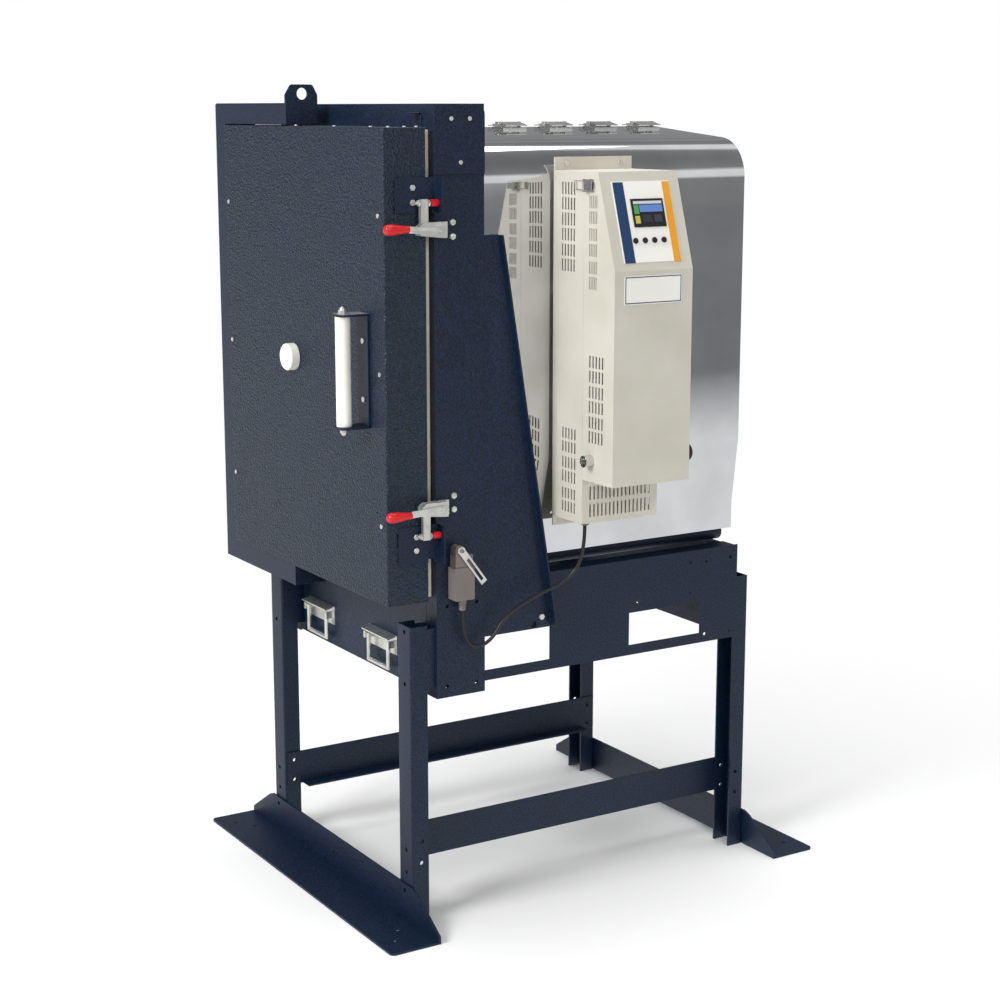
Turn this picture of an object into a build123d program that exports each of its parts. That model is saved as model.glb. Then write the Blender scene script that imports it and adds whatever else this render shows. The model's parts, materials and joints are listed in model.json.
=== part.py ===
from build123d import *
import math
import os

# Front-loading electric kiln on a steel stand, millimetres.
# Origin on the floor, mid width, in the front plane of the stand legs; +Z up, +Y to the rear,
# +X to the side that carries the control box.

# Clearances
FIT = 0.3
PIN_FIT = 0.08
SKIN = 2.0

# Stand legs, feet and stretchers
LEG_OUT = 347.0
LEG_WIDTH = 59.0
LEG_DEPTH = 41.0
LEG_T = 4.5
LEG_TOP = 668.0
LEG_REAR = 912.0
LEG_IN = LEG_OUT - LEG_WIDTH
LEG_MID = LEG_OUT - 27.0
FOOT_HALF = 470.0
FOOT_T = 5.0
FOOT_HIGH = 85.0
FOOT_DEEP = 120.0
STRETCH_LOW = 125.0
STRETCH_TOP = 207.0
STRETCH_FLANGE = 38.0

# Frame plane that the door closes on, columns and top beam
FACE = 60.0
COL_OUT = 355.0
COL_FACE = 44.0
COL_T = 5.0
COL_REAR = 180.0
COL_LOW = 504.0
TOP = 1758.0
SIDE = COL_OUT - COL_T
COL_IN = COL_OUT - COL_FACE
BEAM_LOW = TOP - 58.0

# Base box
BASE_LOW = 525.0
BASE_TOP = 748.0
BASE_T = 3.0
BASE_REAR = 876.0
APRON_LOW = 509.0
REAR_APRON = LEG_REAR - LEG_DEPTH - BASE_T
POCKET_LOW = 548.0
POCKET_HIGH = 624.0
POCKET_ONE = (180.0, 352.0)
POCKET_TWO = (567.0, 769.0)

# Cradle tubes and jacket
TUBE_R = 19.0
TUBE_X = 270.0
JACKET_LOW = BASE_TOP + 2 * TUBE_R
JACKET_REAR = 870.0
JACKET_T = 1.5
RIDGE = 1707.0
EAVE = 1684.0
EAVE_X = 267.0
SHOULDER_R = 90.0
ROOF_FALL = (RIDGE - EAVE) / EAVE_X

# Chamber and lining
ROOM_X = 230.0
ROOM_LOW = 950.0
ROOM_TOP = 1550.0
ROOM_REAR = 740.0
BRICK = 76.0
BRICK_X = ROOM_X + BRICK
BRICK_LOW = ROOM_LOW - BRICK
BRICK_TOP = ROOM_TOP + BRICK
BRICK_REAR = ROOM_REAR + BRICK

# Door
DOOR_LEFT = -424.0
DOOR_RIGHT = 355.0
DOOR_FRONT = -57.0
DOOR_BACK = 41.0
DOOR_LOW = 723.0
DOOR_TOP = 1711.0
DOOR_SKIN = 3.0
SEAL_OUT = 335.0
SEAL_WIDE = 24.0
SEAL_LOW = 727.0
SEAL_TOP = 1706.0
PEEP_X = -70.0
PEEP_Z = 1207.0
PEEP_R = 19.0
PLUG_HEAD_R = 30.0
PLUG_OUT = -81.0

# Door yoke and hinge
POST_LEFT = -484.0
POST_RIGHT = -432.0
YOKE_FRONT = -50.0
YOKE_REAR = 28.0
YOKE_TOP = TOP + 2.0
YOKE_LOW = 674.0
ARM_HIGH = 47.0
ARM_END = -109.0
PLATE_T = 6.0
EYE_TOP = YOKE_TOP + 40.0
EYE_Z = YOKE_TOP + 20.0
EYE_R = 13.0
AXIS_X = -510.0
AXIS_Y = -10.0
PIN_R = 8.0
KNUCKLE_R = 17.0

# Handle
GRIP_R = 16.0
GRIP_X = 265.0
GRIP_Y = -107.0
STRAP_LOW = 1094.0
STRAP_TOP = 1334.0
STRAP_HALF = 24.0
STRAP_T = 5.0
ROD_R = 5.0

# Clamps on the right column
UPPER_Z = 1503.0
LOWER_Z = 926.0
CHEEK_IN = 359.0
CHEEK_T = 3.0
CHEEK_GAP = 14.0
CHEEK_OUT = CHEEK_IN + CHEEK_T + CHEEK_GAP
ARM_PIVOT_Y = 28.0
LEVER_PIVOT_Y = 60.0
CLAMP_REACH = 57.0
TIP_BACK = 60.7
STRIKE_Y = TIP_BACK + FIT

# Control box
CASE_Y = (351.0, 549.0)
CASE_IN = 361.0
CASE_OUT = 472.0
CASE_LOW = 877.0
CASE_TOP = 1621.0
COVER_IN = CASE_OUT + 0.5
COVER_LOW = 974.0
COVER_TOP = 1621.0
COVER_TOP_X = 522.0
COVER_BEND_Z = 1422.0
COVER_OUT = 585.0
COVER_AXIS_X = 480.0
COVER_AXIS_Z = 967.0
CABLE_D = 8.0

# Limit switch cable: straight runs joined by tangent arcs
CABLE_POINTS = [
    (370.0, 115.0, 698.0),
    (370.0, 115.0, 655.0),
    (376.0, 132.0, 612.0),
    (384.0, 176.0, 620.0),
    (390.0, 212.0, 680.0),
    (395.0, 296.0, 716.0),
    (404.0, 368.0, 740.0),
    (420.0, 395.0, 798.0),
    (420.0, 395.0, 862.0),
]


os.makedirs("parts", exist_ok=True)


def block(x0, x1, y0, y1, z0, z1):
    """Box between two corners."""
    centre = ((x0 + x1) / 2, (y0 + y1) / 2, (z0 + z1) / 2)
    return Pos(*centre) * Box(abs(x1 - x0), abs(y1 - y0), abs(z1 - z0))


def along_x(points, x0, x1):
    """Outline of (y, z) points run from x0 to x1."""
    face = make_face(Polyline(*points, close=True))
    return extrude(Plane.YZ.offset(x0) * face, x1 - x0)


def along_y(points, y0, y1):
    """Outline of (x, z) points run from y0 to y1."""
    face = make_face(Polyline(*points, close=True))
    return extrude(Plane.XZ.offset(-y1) * face, y1 - y0)


def rod_x(y, z, r, x0, x1):
    """Round bar along X."""
    return extrude(Plane.YZ.offset(x0) * Pos(y, z) * Circle(r), x1 - x0)


def rod_y(x, z, r, y0, y1):
    """Round bar along Y."""
    return extrude(Plane.XZ.offset(-y1) * Pos(x, z) * Circle(r), y1 - y0)


def rod_z(x, y, r, z0, z1):
    """Round bar along Z."""
    return extrude(Plane.XY.offset(z0) * Pos(x, y) * Circle(r), z1 - z0)


def hex_x(y, z, r, x0, x1):
    """Hexagon head along X."""
    return extrude(Plane.YZ.offset(x0) * Pos(y, z) * RegularPolygon(r, 6), x1 - x0)


def other_side(shape):
    """The same piece for the other side of the kiln."""
    return mirror(shape, about=Plane.YZ)


def save(node, shapes):
    """Write one node; a list stays a group of separate solids."""
    if isinstance(shapes, list):
        shapes = Compound(children=[s.solids()[0] for s in shapes])
    elif len(shapes.solids()) == 1:
        shapes = shapes.solids()[0]
    export_step(shapes, f"parts/{node}.step")
    print(node, len(shapes.solids()), round(shapes.volume / 1000, 1))


# Stand

def foot(y_leg, away):
    """Pressed angle: tapered web against the legs, flange on the floor."""
    half = [(0, FOOT_HIGH), (354, FOOT_HIGH), (371, 79), (FOOT_HALF, 17), (FOOT_HALF, 0), (0, 0)]
    outline = half + [(-x, z) for x, z in reversed(half)][1:-1]
    web_y = sorted([y_leg, y_leg + away * FOOT_T])
    flange_y = sorted([y_leg, y_leg + away * FOOT_DEEP])
    web = along_y(outline, *web_y)
    flange = block(-FOOT_HALF, FOOT_HALF, *flange_y, 0, FOOT_T)
    corners = flange.edges().filter_by(Axis.Z).sort_by(Axis.Y)
    outer = corners[:2] if away < 0 else corners[-2:]
    flange = fillet(outer, 12)
    piece = web + flange
    for x in (-410, -365, 365, 410):
        reach = 80 if abs(x) > 400 else 48
        piece -= rod_z(x, y_leg + away * reach, 6, -1, FOOT_T + 1)
    for x in (-LEG_MID, LEG_MID):
        piece -= rod_y(x, 70, 5, web_y[0] - 1, web_y[1] + 1)
    return piece


def leg(y_web, inward):
    """Channel with its web to the outside and bolt holes in web and flanges."""
    y_tip = y_web + inward * LEG_DEPTH
    y_in = y_web + inward * LEG_T
    outer = block(LEG_IN, LEG_OUT, *sorted([y_web, y_tip]), 0, LEG_TOP)
    web_edges = outer.edges().filter_by(Axis.Z).sort_by(Axis.Y)
    outer = fillet(web_edges[:2] if inward > 0 else web_edges[-2:], 5)
    hollow = block(LEG_IN + LEG_T, LEG_OUT - LEG_T, *sorted([y_in, y_tip + inward]), -1, LEG_TOP + 1)
    piece = outer - hollow
    for z in (654, 539, 163, 111):
        piece -= rod_y(LEG_MID, z, 5, *sorted([y_web - inward, y_in + inward]))
    for z in (186, 136):
        piece -= rod_x(y_web + inward * 24, z, 5, LEG_IN - 1, LEG_OUT + 1)
    return piece


def stretcher():
    """Angle between the front and rear legs of one side."""
    plate = block(LEG_IN - 4, LEG_IN, 5, LEG_REAR - 5, STRETCH_LOW, STRETCH_TOP)
    flange = block(LEG_IN - STRETCH_FLANGE, LEG_IN, 45, LEG_REAR - 45, STRETCH_LOW, STRETCH_LOW + 4)
    piece = plate + flange
    for y in (24, LEG_REAR - 24):
        for z in (186, 136):
            piece -= rod_x(y, z, 5, LEG_IN - 5, LEG_IN + 1)
    return piece


def packer():
    """Flat bar welded between a front leg and its column."""
    return block(LEG_IN, LEG_OUT, LEG_DEPTH, FACE, COL_LOW + 26, LEG_TOP - 8)


save("feet", [foot(0.0, -1), foot(LEG_REAR, 1)])
front_leg = leg(0.0, 1)
rear_leg = leg(LEG_REAR, -1)
save("legs", [front_leg, other_side(front_leg), rear_leg, other_side(rear_leg)])
save("stretchers", [stretcher(), other_side(stretcher())])


# Base box

def base_side():
    """Side plate with fork pockets and an inward top flange."""
    skin = block(SIDE - BASE_T, SIDE, FACE + COL_T, BASE_REAR, BASE_LOW, BASE_TOP)
    top_flange = block(SIDE - 45, SIDE, COL_REAR, LEG_REAR - LEG_DEPTH - BASE_T, BASE_TOP - BASE_T, BASE_TOP)
    piece = skin + top_flange
    for y0, y1 in (POCKET_ONE, POCKET_TWO):
        piece -= block(SIDE - BASE_T - 1, SIDE + 1, y0, y1, POCKET_LOW, POCKET_HIGH)
    small = [(591, 648), (739, 650), (738, 619), (740, 721), (785, 719), (856, 720), (856, 543), (784, 544)]
    for y, z in small:
        piece -= rod_x(y, z, 4, SIDE - BASE_T - 1, SIDE + 1)
    return piece


def apron(y0, y1, half, high, low):
    """Cross plate of the base box with a stiffening flange along the top."""
    plate = block(-half, half, y0, y1, low, high)
    flange = block(-half, half, *sorted([y0, y0 + 30 * (1 if y0 < 400 else -1)]), high - 3, high)
    return plate + flange


def cradle_tube():
    tube = rod_y(TUBE_X, BASE_TOP + TUBE_R, TUBE_R, COL_REAR, BASE_REAR)
    return tube - rod_y(TUBE_X, BASE_TOP + TUBE_R, TUBE_R - 3, COL_REAR - 1, BASE_REAR + 1)


save("base_sides", [base_side(), other_side(base_side())])
front_apron = apron(FACE, FACE + BASE_T, COL_IN - 0.5, BASE_TOP, APRON_LOW)
rear_apron = apron(REAR_APRON, REAR_APRON + BASE_T, SIDE - BASE_T, BASE_TOP - BASE_T, BASE_LOW)
save("aprons", [front_apron, rear_apron])
save("cradle_tubes", [cradle_tube(), other_side(cradle_tube())])


# Front frame

def column():
    """Folded plate: narrow front face, deep side face, open inside."""
    face = block(COL_IN, COL_OUT, FACE, FACE + COL_T, COL_LOW, TOP)
    side = block(SIDE, COL_OUT, FACE, COL_REAR, COL_LOW, TOP)
    lip = block(COL_IN, COL_IN + 3, FACE + COL_T, FACE + 25, BASE_TOP + 2, BEAM_LOW - 2)
    piece = face + side + lip + packer()
    for y, z in ((86, 707), (159, 708), (85, 529), (159, 528)):
        piece -= rod_x(y, z, 4.5, SIDE - 1, COL_OUT + 1)
    return piece


def cap_plate():
    """Screwed corner plate at the top of a column."""
    shape = block(COL_OUT, COL_OUT + 4, FACE - 1, COL_REAR, TOP - 142, TOP)
    corner = shape.edges().filter_by(Axis.X).sort_by(Axis.Z)[-2:].sort_by(Axis.Y)[-1]
    return fillet(corner, 22)


def gusset():
    """Sloping brace behind a column with a folded lip."""
    slope = [(COL_REAR, 1490), (216, 1490), (356, 626), (COL_REAR, 626)]
    plate = along_x(slope, SIDE, COL_OUT)
    lip = along_x([(212, 1490), (216, 1490), (356, 626), (352, 626)], COL_OUT, COL_OUT + 20)
    piece = plate + lip
    return piece - block(SIDE - 1, COL_OUT + 30, 300, 312, 630, 642)


screw_r = 4.5
cap_spots = ((99, TOP - 30), (143, TOP - 30), (121, TOP - 118))
cap_screws = [rod_x(y, z, screw_r, COL_OUT + 4, COL_OUT + 6.5) for y, z in cap_spots]
save("columns", [column(), other_side(column())])
beam_outer = block(-COL_IN, COL_IN, FACE, COL_REAR, BEAM_LOW, TOP)
beam = beam_outer - block(-COL_IN - 1, COL_IN + 1, FACE + 4, COL_REAR - 4, BEAM_LOW - 1, TOP - 4)
beam -= block(-COL_IN - 1, COL_IN + 1, COL_REAR - 5, COL_REAR + 1, BEAM_LOW - 1, BEAM_LOW + 10)
beam += block(COL_IN - 27, COL_IN - 3, FACE - 3, FACE, TOP - 42, TOP - 18)
beam += block(COL_IN - 27, COL_IN - 3, FACE - 22, FACE, TOP - 21, TOP - 18)
save("top_beam", beam)
save("cap_plates", [cap_plate(), other_side(cap_plate())])
save("gussets", [gusset(), other_side(gusset())])
gusset_bolt = hex_x(325, 651, 7, COL_OUT, COL_OUT + 5)
plate_screws = [rod_x(y, 1635, 5, CASE_IN, CASE_IN + 3) for y in (380, 517)]
one_side = cap_screws + [gusset_bolt]
save("frame_screws", one_side + [other_side(s) for s in one_side] + plate_screws)


# Jacket, lining and chamber

def jacket_face(inset):
    """Cross-section of the wrapped jacket, inset by the given amount."""
    eave = RIDGE - ROOF_FALL * SIDE
    half = [(0, RIDGE), (SIDE, eave), (SIDE, 1000), (331, 850), (331, JACKET_LOW), (0, JACKET_LOW)]
    points = half + [(-x, z) for x, z in reversed(half)][1:-1]
    face = make_face(Polyline(*points, close=True))
    corners = [v for v in face.vertices() if abs(v.X) > SIDE - 1 and v.Y > eave - 1]
    face = fillet(corners, SHOULDER_R)
    if inset:
        face = offset(face, -inset)
    return face


def jacket_run(inset, y0, y1):
    return extrude(Plane.XZ.offset(-y1) * jacket_face(inset), y1 - y0)


jacket = jacket_run(0, COL_REAR, JACKET_REAR) - jacket_run(JACKET_T, COL_REAR - 1, JACKET_REAR + 1)
save("jacket", jacket)
save("rear_cover", jacket_run(JACKET_T, JACKET_REAR - 20, JACKET_REAR - 17))
bricks = block(-BRICK_X, BRICK_X, FACE, BRICK_REAR, BRICK_LOW, BRICK_TOP)
filling = jacket_run(JACKET_T, COL_REAR, JACKET_REAR - 20) - bricks
mouth_filling = block(-COL_IN, COL_IN, FACE + 3, COL_REAR, BASE_TOP, BEAM_LOW) - bricks
filling -= block(-6, 6, BRICK_REAR - 1, JACKET_REAR + 1, 1294, 1306)
save("insulation", [filling, mouth_filling])
mouth = block(-COL_IN, COL_IN, FACE, FACE + 3, BASE_TOP, BEAM_LOW)
save("mouth_plate", mouth - bricks)
slabs = [block(-ROOM_X, ROOM_X, FACE, ROOM_REAR, z, z + BRICK) for z in (BRICK_LOW, ROOM_TOP)]
walls = [block(x, x + BRICK, FACE, ROOM_REAR, BRICK_LOW, BRICK_TOP) for x in (ROOM_X, -BRICK_X)]
brick_back = block(-BRICK_X, BRICK_X, ROOM_REAR, BRICK_REAR, BRICK_LOW, BRICK_TOP)
brick_back -= rod_y(0, 1300, 6, ROOM_REAR - 1, BRICK_REAR + 1)
save("brick_lining", slabs + walls + [brick_back])
ELEMENT_ROWS = [ROOM_LOW + 60 + 96 * i for i in range(6)]
HOLDER_DEEP = 22.0
COIL_R = 7.0
holders = []
coils = []
for z in ELEMENT_ROWS:
    bar = block(ROOM_X - HOLDER_DEEP, ROOM_X, 110, 700, z - 14, z + 14)
    bar -= rod_y(ROOM_X - HOLDER_DEEP + 6, z, COIL_R + 1, 109, 701)
    coil = rod_y(ROOM_X - HOLDER_DEEP + 6, z, COIL_R, 116, 694)
    holders += [bar, other_side(bar)]
    coils += [coil, other_side(coil)]
save("element_holders", holders)
save("heating_elements", coils)
save("thermocouple", rod_y(0, 1300, 5, 640, JACKET_REAR - 20))


# Roof latches: a catch left of the seam, base and lever to its right

LATCH_Y = (452.0, 577.0, 702.0, 826.0)
LATCH_LONG = 74.0
LATCH_AXIS_X = 12.0
LATCH_AXIS_Z = RIDGE + 7.0


def roof(x):
    """Height of the roof at the distance x from the ridge."""
    return RIDGE - ROOF_FALL * abs(x)


def latch_base(y):
    """Base plate with two ears that carry the lever pin."""
    y0 = y - LATCH_LONG / 2
    y1 = y + LATCH_LONG / 2
    foot_pts = [(6, roof(6)), (42, roof(42)), (42, roof(42) + 2), (6, roof(6) + 2)]
    piece = along_y(foot_pts, y0 + 6, y1 - 6)
    for a in (y0 + 6, y1 - 9):
        ear = along_y([(6, roof(6) + 1), (20, roof(20) + 1), (18, RIDGE + 12), (7, RIDGE + 12)], a, a + 3)
        piece += ear
    piece -= rod_y(LATCH_AXIS_X, LATCH_AXIS_Z, 2 + PIN_FIT, y0, y1)
    return piece


def latch_catch(y):
    """Catch plate left of the seam with the tension loop lying over the seam."""
    plate_pts = [(-40, roof(40)), (-10, roof(10)), (-10, roof(10) + 2), (-40, roof(40) + 2)]
    plate = along_y(plate_pts, y - 22, y + 22)
    hook_pts = [(-26, roof(26)), (-22, roof(22)), (-22, RIDGE + 7), (-30, RIDGE + 7), (-30, RIDGE + 5), (-26, RIDGE + 5)]
    plate += along_y(hook_pts, y - 16, y + 16)
    return plate


def latch_loop(y):
    """Flat tension loop from the catch to the lever's underside."""
    loop = block(-33, 4, y - 26, y + 26, RIDGE + 2.4, RIDGE + 4.6)
    return loop - block(-30, 1, y - 22, y + 22, RIDGE + 2, RIDGE + 5)


def latch_lever(y):
    """Pressed lever, pinned in the ears, lying down the roof slope when closed."""
    y0 = y - LATCH_LONG / 2 + 10
    y1 = y + LATCH_LONG / 2 - 10
    top_pts = [(8, RIDGE + 9.5), (16, RIDGE + 9.5), (52, roof(52) + 7), (52, roof(52) + 9), (16, RIDGE + 11.5), (8, RIDGE + 11.5)]
    piece = along_y(top_pts, y0, y1)
    for a in (y0, y1 - 2):
        piece += along_y([(8, RIDGE + 5.2), (16, RIDGE + 5.2), (30, RIDGE + 9), (16, RIDGE + 10.5), (8, RIDGE + 10.5)], a, a + 2)
    return piece + rod_y(LATCH_AXIS_X, LATCH_AXIS_Z, 2, y0 - 4, y1 + 4)


save("roof_latch_bases", [f(y) for y in LATCH_Y for f in (latch_base, latch_catch, latch_loop)])
for i, y in enumerate(LATCH_Y):
    save(f"roof_latch_lever_{i + 1}", latch_lever(y))


# Door

peep_bore = rod_y(PEEP_X, PEEP_Z, PEEP_R, DOOR_FRONT - 1, FACE + 1)
door_outer = block(DOOR_LEFT, DOOR_RIGHT, DOOR_FRONT, DOOR_BACK, DOOR_LOW, DOOR_TOP)
door_outer = fillet(door_outer.edges().filter_by(Axis.Z).sort_by(Axis.Y)[:2], 4)
door_in = (DOOR_LEFT + DOOR_SKIN, DOOR_RIGHT - DOOR_SKIN)
door_up = (DOOR_LOW + DOOR_SKIN, DOOR_TOP - DOOR_SKIN)
hollow = block(*door_in, DOOR_FRONT + DOOR_SKIN, DOOR_BACK + 1, *door_up)
hot_face = block(-BRICK_X + 6, BRICK_X - 6, -20, FACE - 2, BRICK_LOW + 6, BRICK_TOP - 6)
back_sheet = block(*door_in, DOOR_BACK - 3, DOOR_BACK, *door_up)
door_skin = door_outer - hollow
door_skin += back_sheet
save("door_shell", door_skin - hot_face - peep_bore)
wool = block(*door_in, DOOR_FRONT + DOOR_SKIN, DOOR_BACK - 3, *door_up)
save("door_insulation", wool - hot_face - peep_bore)
save("door_brick", hot_face - peep_bore)
seal = block(-SEAL_OUT, SEAL_OUT, DOOR_BACK, FACE - FIT, SEAL_LOW, SEAL_TOP)
seal_in = SEAL_OUT - SEAL_WIDE
seal -= block(-seal_in, seal_in, DOOR_BACK - 1, FACE, SEAL_LOW + SEAL_WIDE, SEAL_TOP - SEAL_WIDE)
save("door_gasket", seal)
head_y = (DOOR_FRONT - 3, DOOR_FRONT)
face_spots = [(x, z) for x in (333, -402) for z in (1535, 1212, 893)]
door_screws = [rod_y(x, z, 5, *head_y) for x, z in face_spots]
door_screws += [rod_z(x, -47, 4, DOOR_TOP, DOOR_TOP + 2.5) for x in (-60, 124, 285)]
door_screws += [rod_z(341, y, 4, DOOR_TOP, DOOR_TOP + 2.5) for y in (-37, 0, 28)]
plug = rod_y(PEEP_X, PEEP_Z, PLUG_HEAD_R, PLUG_OUT, DOOR_FRONT - FIT)
plug = chamfer(plug.edges().sort_by(Axis.Y)[0], 4)
save("peephole_plug", plug + rod_y(PEEP_X, PEEP_Z, PEEP_R - 1, DOOR_FRONT - FIT, 10))


# Handle: bent strap, ceramic tube on a rod, domed nuts

strap = block(GRIP_X - STRAP_HALF, GRIP_X + STRAP_HALF, DOOR_FRONT - STRAP_T, DOOR_FRONT, STRAP_LOW, STRAP_TOP)
for z in (STRAP_LOW, STRAP_TOP - STRAP_T):
    reach = block(GRIP_X - STRAP_HALF, GRIP_X + STRAP_HALF, GRIP_Y - 16, DOOR_FRONT, z, z + STRAP_T)
    reach = fillet(reach.edges().filter_by(Axis.Z).sort_by(Axis.Y)[:2], 12)
    strap += reach
strap -= rod_z(GRIP_X, GRIP_Y, ROD_R, STRAP_LOW - 1, STRAP_TOP + 1)
grip = rod_z(GRIP_X, GRIP_Y, GRIP_R, STRAP_LOW + STRAP_T, STRAP_TOP - STRAP_T)
save("handle_tube", grip - rod_z(GRIP_X, GRIP_Y, ROD_R, STRAP_LOW, STRAP_TOP))
tie = rod_z(GRIP_X, GRIP_Y, ROD_R, STRAP_LOW - 9, STRAP_TOP + 9)
for z, up in ((STRAP_LOW, -1), (STRAP_TOP, 1)):
    nut = extrude(Plane.XY.offset(z) * Pos(GRIP_X, GRIP_Y) * RegularPolygon(9, 6), 8 * up)
    dome = Pos(GRIP_X, GRIP_Y, z + 8 * up) * Sphere(7)
    tie += nut
    tie += dome
strap_screws = [rod_y(GRIP_X + 4, z, 6, DOOR_FRONT - STRAP_T - 3, DOOR_FRONT - STRAP_T) for z in (1276, 1153)]
save("handle_bracket", [strap, tie])
door_screws += strap_screws


# Door yoke with end plates, lifting eye and pivots

post = block(POST_LEFT, POST_RIGHT, YOKE_FRONT, YOKE_REAR, YOKE_LOW, YOKE_TOP)
top_arm = block(POST_LEFT, ARM_END, YOKE_FRONT, YOKE_REAR, YOKE_TOP - ARM_HIGH, YOKE_TOP)
low_arm = block(POST_LEFT, ARM_END, YOKE_FRONT, YOKE_REAR, YOKE_LOW, YOKE_LOW + ARM_HIGH - 1)
yoke = post + top_arm + low_arm
yoke = chamfer(yoke.edges().filter_by(Axis.X).sort_by(Axis.Z)[-2:], 3)
HINGE_UP = (1559.7, 1585.3)
HINGE_LOW = (777.3, 792.0)
for z0, z1 in (HINGE_UP, HINGE_LOW):
    knuckle = rod_z(AXIS_X, AXIS_Y, KNUCKLE_R, z0, z1)
    knuckle += block(AXIS_X, POST_LEFT, AXIS_Y - KNUCKLE_R, AXIS_Y + KNUCKLE_R, z0, z1)
    yoke += knuckle
    yoke -= rod_z(AXIS_X, AXIS_Y, PIN_R + PIN_FIT, z0 - 1, z1 + 1)
EYE_SIDE = YOKE_TOP + 18
eye_face = [
    (YOKE_FRONT, YOKE_TOP - ARM_HIGH),
    (YOKE_REAR, YOKE_TOP - ARM_HIGH),
    (YOKE_REAR, EYE_SIDE),
    (YOKE_REAR - 12, EYE_TOP),
    (YOKE_FRONT + 14, EYE_TOP),
    (YOKE_FRONT, EYE_SIDE),
]
eye = along_x(eye_face, ARM_END, ARM_END + PLATE_T)
eye = fillet(eye.edges().filter_by(Axis.X).filter_by_position(Axis.Z, EYE_SIDE - 8, EYE_TOP + 1), 8)
eye -= rod_x(-9, EYE_Z, EYE_R, ARM_END - 1, ARM_END + PLATE_T + 1)
low_cap = block(ARM_END, ARM_END + PLATE_T, YOKE_FRONT, YOKE_REAR, YOKE_LOW, YOKE_LOW + ARM_HIGH - 1)
save("door_yoke", yoke + eye + low_cap)
pivots = []
for z0, z1, head in ((DOOR_TOP, YOKE_TOP - ARM_HIGH, YOKE_TOP), (YOKE_LOW + ARM_HIGH - 1, DOOR_LOW, YOKE_LOW - 6)):
    pivots.append(rod_z(ARM_END - 26, -14, 15, z0, z1))
    pivots.append(extrude(Plane.XY.offset(head) * Pos(ARM_END - 26, -14) * RegularPolygon(11, 6), 6))
save("door_pivots", pivots)


# Hinge brackets on the left column

def hinge_bracket(levels, z0, z1):
    """Foot on the column and the leaves that carry the pin."""
    piece = block(-COL_OUT - 5, -COL_OUT, 72, 140, z0, z1)
    for a, b in levels:
        leaf = block(AXIS_X - 18, -COL_OUT, 80, 130, a, b)
        leaf += block(AXIS_X - 18, AXIS_X + 18, AXIS_Y, 130, a, b)
        leaf += rod_z(AXIS_X, AXIS_Y, 18, a, b)
        piece += leaf - rod_z(AXIS_X, AXIS_Y, PIN_R, a - 1, b + 1)
    return piece


upper_hinge = hinge_bracket(((1552.9, 1559.4), (1585.6, 1592.1)), 1535, 1610)
lower_hinge = hinge_bracket(((768.0, 777.0),), 745, 800)
pins = [rod_z(AXIS_X, AXIS_Y, PIN_R, 1546, 1599), rod_z(AXIS_X, AXIS_Y, PIN_R, 762, 797)]
save("hinge_brackets", [upper_hinge, lower_hinge] + pins)


# Strikes and toggle clamps

def strike(z0, z1, bolts):
    """Leaf on the side of the door with an outward flange for the clamp tip."""
    leaf = block(DOOR_RIGHT, DOOR_RIGHT + 3, -32, STRIKE_Y + 3, z0, z1)
    leaf += block(DOOR_RIGHT, 388, STRIKE_Y, STRIKE_Y + 3, z0, z1)
    leaf -= block(DOOR_RIGHT - 1, DOOR_RIGHT + 4, FACE - 20, STRIKE_Y - 8, z0 - 1, z0 + 8)
    heads = [hex_x(y, z, 6.5, DOOR_RIGHT + 3, DOOR_RIGHT + 6) for y, z in bolts]
    return leaf, heads


def clamp_base(pivot_z, up):
    """Foot plate on the column with two cheeks."""
    low = min(pivot_z - up * 14, pivot_z + up * 18)
    high = max(pivot_z - up * 14, pivot_z + up * 18)
    piece = block(COL_OUT, CHEEK_IN, 66, 116, low, high)
    cheek = along_x([(14, low + 6), (70, low), (112, low), (112, high), (24, high), (14, high - 8)], CHEEK_IN, CHEEK_IN + CHEEK_T)
    far = along_x([(14, low + 6), (70, low), (84, low), (84, high), (24, high), (14, high - 8)], CHEEK_OUT, CHEEK_OUT + CHEEK_T)
    piece += cheek
    piece += far
    piece += block(CHEEK_IN, CHEEK_OUT + CHEEK_T, 78, 84, low, high)
    piece += rod_x(LEVER_PIVOT_Y, pivot_z, 4, CHEEK_IN, CHEEK_OUT + CHEEK_T + 8)
    piece += rod_x(ARM_PIVOT_Y, pivot_z + up * 7, 4, CHEEK_IN, CHEEK_OUT + CHEEK_T)
    return piece


def clamp_arm(pivot_z, up):
    """Arm between the cheeks with spindle, nuts and tip."""
    z = pivot_z + up * 7
    z_tip = z + up * (CLAMP_REACH - 7)
    x0 = CHEEK_IN + CHEEK_T + 2
    x1 = CHEEK_OUT - 2
    mid = (x0 + x1) / 2
    arm = block(x0, x1, ARM_PIVOT_Y - 9, ARM_PIVOT_Y + 8, *sorted([z, z_tip + up * 8]))
    arm += rod_x(ARM_PIVOT_Y, z, 9, x0, x1)
    arm -= rod_x(ARM_PIVOT_Y, z, 4 + PIN_FIT, x0 - 1, x1 + 1)
    arm += rod_y(mid, z_tip, 3, 8, 44)
    for y in (14, 37):
        arm += extrude(Plane.XZ.offset(-y - 4) * Pos(mid, z_tip) * RegularPolygon(7, 6), 4)
    tip = rod_y(mid, z_tip, 7.5, 44, TIP_BACK)
    return arm, tip


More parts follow.
